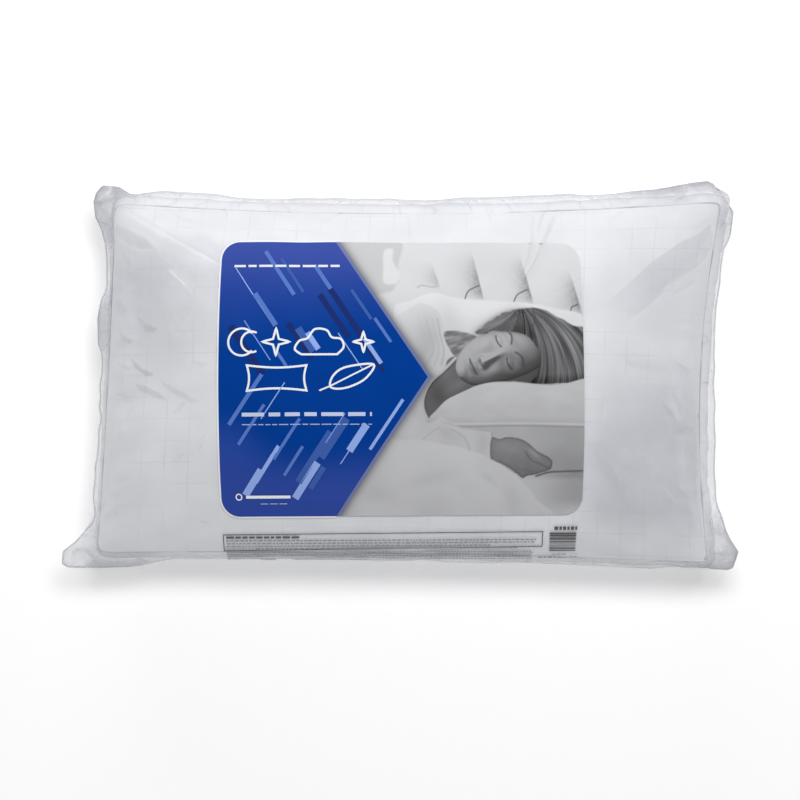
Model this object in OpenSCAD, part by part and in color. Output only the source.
// Gusseted bed pillow, queen size, lying flat in its sealed clear film bag.
// Millimetres, +Z up, +X along the pillow, origin under the middle of the bag on the surface it lies on.
// Every soft layer is an offset of one cushion surface, so the layers nest without touching.

/* [Pillow] */
// Half the distance between the two short seams
half_l = 344; // [280:2:460]
// Half the distance between the two long seams
half_w = 201; // [170:1:240]
// Width of the gusset band between the two piped seams
gusset_h = 50; // [25:1:80]
// Rise of the top face above its seam
top_crown = 82; // [40:1:110]
// Height of the lower seam above the surface that the pillow lies on
lower_seam_z = 46; // [20:1:70]
// Thickness of the cotton cover
cloth_t = 0.8; // [0.4:0.1:1.5]
// Radius of the filler cord in the piping
cord_r = 1.2; // [0.8:0.1:2.5]
// Thickness of the piping's cover
piping_t = 0.35; // [0.2:0.05:0.6]

/* [Bag] */
// Clear gap between the cover and the film
film_gap = 1.8; // [1.2:0.1:4]
// Thickness of the film
film_t = 0.4; // [0.2:0.1:1]
// Width of the heat seal at each end
seal_w = 3; // [2:1:10]

/* [Print] */
// Half the length of the printed label, as a share of the face
label_u = 0.575; // [0.4:0.005:0.62]
// Upper edge of the label, as a share of the face
label_top = 0.725; // [0.5:0.005:0.8]
// Lower edge of the label, as a share of the face
label_bottom = -0.745; // [-0.76:0.005:-0.5]
// Where the point of the arrow lies along the face
arrow_tip_u = 0.045; // [-0.2:0.005:0.3]
// Where the arrow's sloping edges start along the face
arrow_root_u = -0.225; // [-0.35:0.005:0]

/* [Hidden] */

upper_seam_z = lower_seam_z + gusset_h;
middle_z = lower_seam_z + gusset_h / 2;
centre = [12, -3];        // middle of the pillow, which lies a little off the bag's middle
slant = 9;                // how far the upper edge lies to the right of the middle
taper = 3.4;              // how much taller the right end is than the middle
tilt = -2.3;              // how much lower the right end lies
pull_right = 17;          // how far each side pulls in between its corners
pull_left = 2;
pull_top = 13;
pull_bottom = 5;
bulge_right = 12;         // how far the gusset swells past the seams on each side
bulge_left = 6;
bulge_top = 14;
bulge_bottom = 6;
corner_power = 30;        // roundness of the corners: a circle is 2, a sharp corner is endless
flat_share = 1.3;         // the lower face is flat where its crown would pass 1 / flat_share
panel_inset = 2.2;        // from the middle of the piping to the panel's edge
edge_gap = 2.4;           // from the middle of the piping to the gusset's edge
stand_off_right = 3;      // from the gusset to the film on each side, halfway up
stand_off_left = 4;
stand_off_top = 6;
stand_off_bottom = 2.5;
fill_gap = 1.6;           // from the panels to the fibre
fill_inset = 7;           // from the gusset to the fibre
seal_gap = 0.3;           // from the film's edge to the seal along it
side_steps = 12;          // points along each side of every ring
ring_n = 4 * side_steps;
ring_shares = [0.2, 0.38, 0.54, 0.68, 0.8, 0.89, 0.95, 0.985];
// Tips of the four loose film corners, in the order of the rings: front right, back right, back left, front left
ear_tips = [[384, -217.8], [374, 217.8], [-350, 214], [-384, -217.8]];
// How far each point near a corner goes over to that corner's tip
ear_pull = [1, 0.84, 0.5, 0.2, 0.04];
print_lift = 0.8;         // from the film to the print on it
print_t = 0.2;

// ---------- the cushion surface ----------

function clamp01(x) = max(0, min(1, x));
function unit(v) = v / norm(v);
function power_norm(q) = pow(pow(abs(q[0]), corner_power) + pow(abs(q[1]), corner_power), 1 / corner_power);

// Point k of the face's outline, in shares of the face, counted from the front right corner
function rim_uv(k) =
    let (side = floor(k / side_steps), t = sin(90 * (2 * (k % side_steps) / side_steps - 1)),
         q = side == 0 ? [1, t] : side == 1 ? [-t, 1] : side == 2 ? [-1, -t] : [t, -1])
    q / power_norm(q);

// Plan position of a point given in shares of the face
function plan(u, v) =
    [centre[0] + slant * v + half_l * u
        + (pull_left * pow(max(-u, 0), 3) - pull_right * pow(max(u, 0), 3)) * (1 - v * v),
     centre[1] + tilt * u + (half_w + taper * u) * v
        + (pull_bottom * pow(max(-v, 0), 3) - pull_top * pow(max(v, 0), 3)) * (1 - u * u)];

function dome(u, v) = pow(max(0, 1 - pow(abs(u), 4)) * max(0, 1 - pow(abs(v), 2.4)), 0.75);

// Height share of the crown: 1 in the middle and 0 all along the seam
function crown(u, v) =
    let (s = power_norm([u, v]))
    s < 0.01 ? 1 : max(0, dome(u, v) - dome(u / s, v / s) * pow(s, 8));

function panel_plan(u, v) = plan(u * (1 - panel_inset / half_l), v * (1 - panel_inset / half_w));

// Point on the outside of the top or bottom panel
function face_point(u, v, up) =
    let (p = panel_plan(u, v), c = crown(u, v), rest = film_gap + film_t)
    [p[0], p[1], up ? upper_seam_z + top_crown * c
                    : lower_seam_z - (lower_seam_z - rest) * min(1, flat_share * c)];

// The same point moved out along the surface's normal by d
function face_offset(u, v, d, up) =
    let (e = 0.01, du = u > 0 ? -e : e, dv = v > 0 ? -e : e,
         p = face_point(u, v, up),
         n = unit(cross(face_point(u + du, v, up) - p, face_point(u, v + dv, up) - p)),
         turned = n[2] * (up ? 1 : -1) < 0 ? -n : n)
    p + d * turned;

function face_ring(s, d, up) =
    [for (k = [0:ring_n - 1]) let (q = rim_uv(k)) face_offset(s * q[0], s * q[1], d, up)];

// ---------- the seam line and what follows it ----------

function seam_plan(k) = let (q = rim_uv((k + ring_n) % ring_n)) plan(q[0], q[1]);
function seam_normal(k) = let (t = unit(seam_plan(k + 1) - seam_plan(k - 1))) [t[1], -t[0]];

// A value that depends on which way the seam faces
function by_side(k, right, left, top, bottom) =
    let (n = seam_normal(k))
    n[0] * n[0] * (n[0] > 0 ? right : left) + n[1] * n[1] * (n[1] > 0 ? top : bottom);

function bulge(k) = by_side(k, bulge_right, bulge_left, bulge_top, bulge_bottom);
function stand_off(k) = by_side(k, stand_off_right, stand_off_left, stand_off_top, stand_off_bottom);

// Point beside the seam line: out is along the plan normal, z is the height
function beside_seam(k, out, z) = let (p = seam_plan(k) + out * seam_normal(k)) [p[0], p[1], z];
function beside_ring(out, z) = [for (k = [0:ring_n - 1]) beside_seam(k, out, z)];

// Point on the gusset at share h of its height, moved out by d
function gusset_point(k, h, d) =
    beside_seam(k, bulge(k) * 4 * h * (1 - h) + d,
                lower_seam_z + edge_gap + h * (gusset_h - 2 * edge_gap));

// Share of point k that belongs to the nearest loose corner, and that corner's number
function corner_steps(k) = let (m = k % side_steps) min(m, side_steps - m);
function corner_of(k) = floor((k + side_steps / 2) / side_steps) % 4;
function ear_share(k) = let (m = corner_steps(k)) m < len(ear_pull) ? ear_pull[m] : 0;

// Edge of the film where the top and bottom webs meet, moved out by d
function film_rim(k, d) =
    let (p = seam_plan(k) + (bulge(k) + stand_off(k)) * seam_normal(k),
         w = ear_share(k), q = p + w * (ear_tips[corner_of(k)] - p) + d * seam_normal(k))
    [q[0], q[1], middle_z];

// Film between the piping and its edge: h is 0 at the edge and 1 at the piping, up is 1 or -1
function film_side(k, h, d, up) =
    let (near = beside_seam(k, 6 + d, middle_z + up * (gusset_h / 2 + 1 + d)),
         edge = film_rim(k, d), swell = sin(180 * h) * (1 - ear_share(k)) * 3, n = seam_normal(k))
    edge + h * (near - edge) + [n[0] * swell, n[1] * swell, 0];

// ---------- solids from rings and grids of points ----------

// Two triangles between points i and j of one row and the same points of the next. The far face of a thin
// sheet runs backwards, so its quads take the other diagonal and the two faces stay parallel
function quad(a, b, i, j, far = false) =
    far ? [[a + i, a + j, b + j], [a + i, b + j, b + i]] : [[a + i, a + j, b + i], [a + j, b + j, b + i]];

// A closed skin from a pole through rings of points to another pole
module skin(first, rings, last) {
    n = len(rings[0]);
    m = len(rings);
    points = concat([first], [for (r = rings) each r], [last]);
    polyhedron(points, concat(
        [for (i = [0:n - 1]) [0, 1 + (i + 1) % n, 1 + i]],
        [for (r = [0:m - 2]) for (i = [0:n - 1])
            each quad(1 + r * n, 1 + (r + 1) * n, i, (i + 1) % n, r >= m / 2)],
        [for (i = [0:n - 1]) [m * n + 1, 1 + (m - 1) * n + i, 1 + (m - 1) * n + (i + 1) % n]]));
}

// A closed band: each section is a loop of points, and the last section joins the first
module closed_band(sections) {
    n = len(sections[0]);
    m = len(sections);
    polyhedron([for (s = sections) each s],
        [for (k = [0:m - 1]) for (i = [0:n - 1]) each quad(k * n, ((k + 1) % m) * n, i, (i + 1) % n)]);
}

// A band with two ends. Each section runs out along one face of the band and back along the other
module open_band(sections) {
    n = len(sections[0]);
    m = len(sections);
    end = (m - 1) * n;
    polyhedron([for (s = sections) each s], concat(
        [for (k = [0:m - 2]) for (i = [0:n - 1]) each quad(k * n, (k + 1) * n, i, (i + 1) % n)],
        [for (i = [0:n / 2 - 2]) each [[i + 1, i, n - 1 - i], [i + 1, n - 1 - i, n - 2 - i]]],
        [for (i = [0:n / 2 - 2])
            each [[end + i, end + i + 1, end + n - 2 - i], [end + i, end + n - 2 - i, end + n - 1 - i]]]));
}

// ---------- the pillow ----------

module panel(up) {
    shares = concat(ring_shares, [1]);
    last = len(shares) - 1;
    high = up ? 0 : -cloth_t;
    low = up ? -cloth_t : 0;
    over = [for (i = [0:last]) face_ring(shares[i], high, up)];
    under = [for (i = [last:-1:0]) face_ring(shares[i], low, up)];
    skin(face_offset(0, 0, high, up), concat(over, under), face_offset(0, 0, low, up));
}

module top_panel() { color("white") panel(true); }
module bottom_panel() { color("white") panel(false); }

module fibre_fill() {
    depth = -(cloth_t + fill_gap);
    count = len(ring_shares);
    top = [for (i = [0:count - 1]) face_ring(ring_shares[i], depth, true)];
    bottom = [for (i = [count - 1:-1:0]) face_ring(ring_shares[i], depth, false)];
    side = [for (h = [0.85, 0.5, 0.15]) [for (k = [0:ring_n - 1]) gusset_point(k, h, -fill_inset)]];
    color("whitesmoke")
        skin(face_offset(0, 0, depth, true), concat(top, side, bottom), face_offset(0, 0, depth, false));
}

// The gusset is sewn from two strips that meet halfway along the short sides
module gusset_strip(first, last) {
    heights = [0, 0.25, 0.5, 0.75, 1];
    open_band([for (k = [first:last]) concat(
        [for (h = heights) gusset_point(k, h, 0)],
        [for (i = [4:-1:0]) gusset_point(k, heights[i], -cloth_t)])]);
}

half_side = side_steps / 2;
module gusset_back_strip() { color("white") gusset_strip(half_side, half_side + 2 * side_steps); }
module gusset_front_strip() { color("white") gusset_strip(half_side + 2 * side_steps, half_side + 4 * side_steps); }

// A loop of section points [out, up] swept along a seam
module seam_band(section, z) {
    closed_band([for (k = [0:ring_n - 1]) [for (p = section) beside_seam(k, p[0], z + p[1])]]);
}

module piping_cord(z) {
    sides = 8;
    seam_band([for (i = [0:sides - 1]) cord_r * [cos(-360 * i / sides), sin(-360 * i / sides)]], z);
}

// A folded strip round the cord, open towards the inside of the pillow
module piping_cover(z, up) {
    inner_r = cord_r + 0.15;
    outer_r = inner_r + piping_t;
    first = -115 * up;
    sweep = 285 * up;
    steps = 6;
    outer = [for (i = [0:steps]) let (a = first + sweep * i / steps) outer_r * [cos(a), sin(a)]];
    inner = [for (i = [steps:-1:0]) let (a = first + sweep * i / steps) inner_r * [cos(a), sin(a)]];
    loop = concat(outer, inner);
    turned = [for (i = [len(loop) - 1:-1:0]) loop[i]];
    seam_band(up > 0 ? turned : loop, z);
}

module seam_thread(z, up) {
    r = 0.35;
    seam_band([for (a = [0, 1, 2, 3]) [-2 + r * cos(-90 * a), -2 * up + r * sin(-90 * a)]], z);
}

module top_piping_cord() { color("lightgrey") piping_cord(upper_seam_z); }
module top_piping_cover() { color("silver") piping_cover(upper_seam_z, 1); }
module bottom_piping_cord() { color("lightgrey") piping_cord(lower_seam_z); }
module bottom_piping_cover() { color("silver") piping_cover(lower_seam_z, -1); }
module top_seam_thread() { color("white") seam_thread(upper_seam_z, 1); }
module bottom_seam_thread() { color("white") seam_thread(lower_seam_z, -1); }

// The short row that closes the gap through which the pillow was filled, on the left end
module closing_stitches() {
    stitch_l = 5;
    stitch_n = 24;
    spread = 4;
    color("gainsboro")
        for (i = [0:stitch_n - 1]) {
            k = 2.5 * side_steps + spread * ((i + 0.5) / stitch_n - 0.5);
            low = floor(k);
            part = k - low;
            p = gusset_point(low, 0.16, 0.55) * (1 - part) + gusset_point(low + 1, 0.16, 0.55) * part;
            t = seam_plan(low + 1) - seam_plan(low);
            translate(p) rotate([0, 0, atan2(t[1], t[0])]) rotate([0, 90, 0])
                cylinder(h = stitch_l, r = 0.35, center = true, $fn = 16);
        }
}

// The sewn-in care label, folded under the pillow from the lower seam at the left end
module care_label() {
    t = 0.3;
    lift = 0.5;
    columns = 4;
    function u(i) = -0.955 + 0.16 * i / columns;
    color("ivory")
        open_band([for (v = [-0.15, 0, 0.15]) concat(
            [for (i = [0:columns]) face_offset(u(i), v, lift + t, false)],
            [for (i = [columns:-1:0]) face_offset(u(i), v, lift, false)])]);
}

// ---------- the bag ----------

function film_rings(d, up) = concat(
    [for (s = ring_shares) face_ring(s, film_gap + d, up > 0)],
    [[for (k = [0:ring_n - 1]) beside_seam(k, 0.5, middle_z + up * (gusset_h / 2 + 5 + d))]],
    [for (h = [1, 0.66, 0.33, 0]) [for (k = [0:ring_n - 1]) film_side(k, h, d, up)]]);

module film_web(up) {
    high = up > 0 ? film_t : 0;
    low = up > 0 ? 0 : film_t;
    over = film_rings(high, up);
    under = film_rings(low, up);
    rings = concat(over, [for (i = [len(under) - 1:-1:0]) under[i]]);
    skin(face_offset(0, 0, film_gap + high, up > 0), rings, face_offset(0, 0, film_gap + low, up > 0));
}

module bag_top_film() { color("lightcyan", 0.4) film_web(1); }

// The middle of the lower web lies flat, where the bag rests
module bag_bottom_film() { color("lightcyan", 0.4) film_web(-1); }

module end_seal(first) {
    t = 0.4;
    color("azure", 0.6)
        open_band([for (k = [first:first + side_steps])
            let (a = film_rim(k % ring_n, film_t + seal_gap), b = film_rim(k % ring_n, film_t + seal_w), up = [0, 0, t])
            [a + up, a - up, b - up, b + up]]);
}

module bag_right_end_seal() { end_seal(0); }
module bag_left_end_seal() { end_seal(2 * side_steps); }

// ---------- the print on the film ----------

// A thin patch on the film between two u limits for each v, given in shares of the face
module print_patch(rows, columns, lift) {
    low = film_gap + film_t + lift;
    high = low + print_t;
    open_band([for (row = rows) let (v = row[0], u0 = row[1], u1 = row[2]) concat(
        [for (i = [0:columns]) face_offset(u0 + (u1 - u0) * i / columns, v, high, true)],
        [for (i = [columns:-1:0]) face_offset(u0 + (u1 - u0) * i / columns, v, low, true)])]);
}

label_middle = (label_top + label_bottom) / 2;
label_rows = 12;
function label_v(i) = label_bottom + (label_top - label_bottom) * i / label_rows;
function arrow_u(v) =
    arrow_tip_u - (arrow_tip_u - arrow_root_u) * abs(v - label_middle) / (label_top - label_middle);
border_u = 0.012;
border_gap_u = 0.003;

module label_arrow_print() {
    color("royalblue")
        print_patch([for (i = [0:label_rows]) let (v = label_v(i)) [v, -label_u, arrow_u(v) - border_gap_u]],
                    5, print_lift);
}

module label_arrow_border() {
    color("silver")
        print_patch([for (i = [0:label_rows]) let (v = label_v(i)) [v, arrow_u(v), arrow_u(v) + border_u]],
                    1, print_lift);
}

module label_picture_print() {
    color("grey")
        print_patch([for (i = [0:label_rows]) let (v = label_v(i))
                        [v, arrow_u(v) + border_u + border_gap_u, label_u]], 8, print_lift);
}

module info_box_print() {
    color("dimgrey")
        print_patch([for (v = [-0.945, -0.91, -0.875]) [v, -label_u + 0.02, 0.45]], 12, print_lift);
}

module info_band_print() {
    color("darkgrey")
        print_patch([for (v = [-0.985, -0.97, -0.955]) [v, -label_u + 0.03, 0.44]], 12, print_lift);
}

module barcode_print() {
    color("black")
        print_patch([for (v = [-0.975, -0.94, -0.905, -0.87]) [v, 0.49, 0.56]], 2, print_lift);
}

fibre_fill();
top_panel();
bottom_panel();
gusset_front_strip();
gusset_back_strip();
top_piping_cord();
top_piping_cover();
bottom_piping_cord();
bottom_piping_cover();
top_seam_thread();
bottom_seam_thread();
closing_stitches();
care_label();
bag_top_film();
bag_bottom_film();
bag_left_end_seal();
bag_right_end_seal();
label_arrow_print();
label_arrow_border();
label_picture_print();
info_box_print();
info_band_print();
barcode_print();
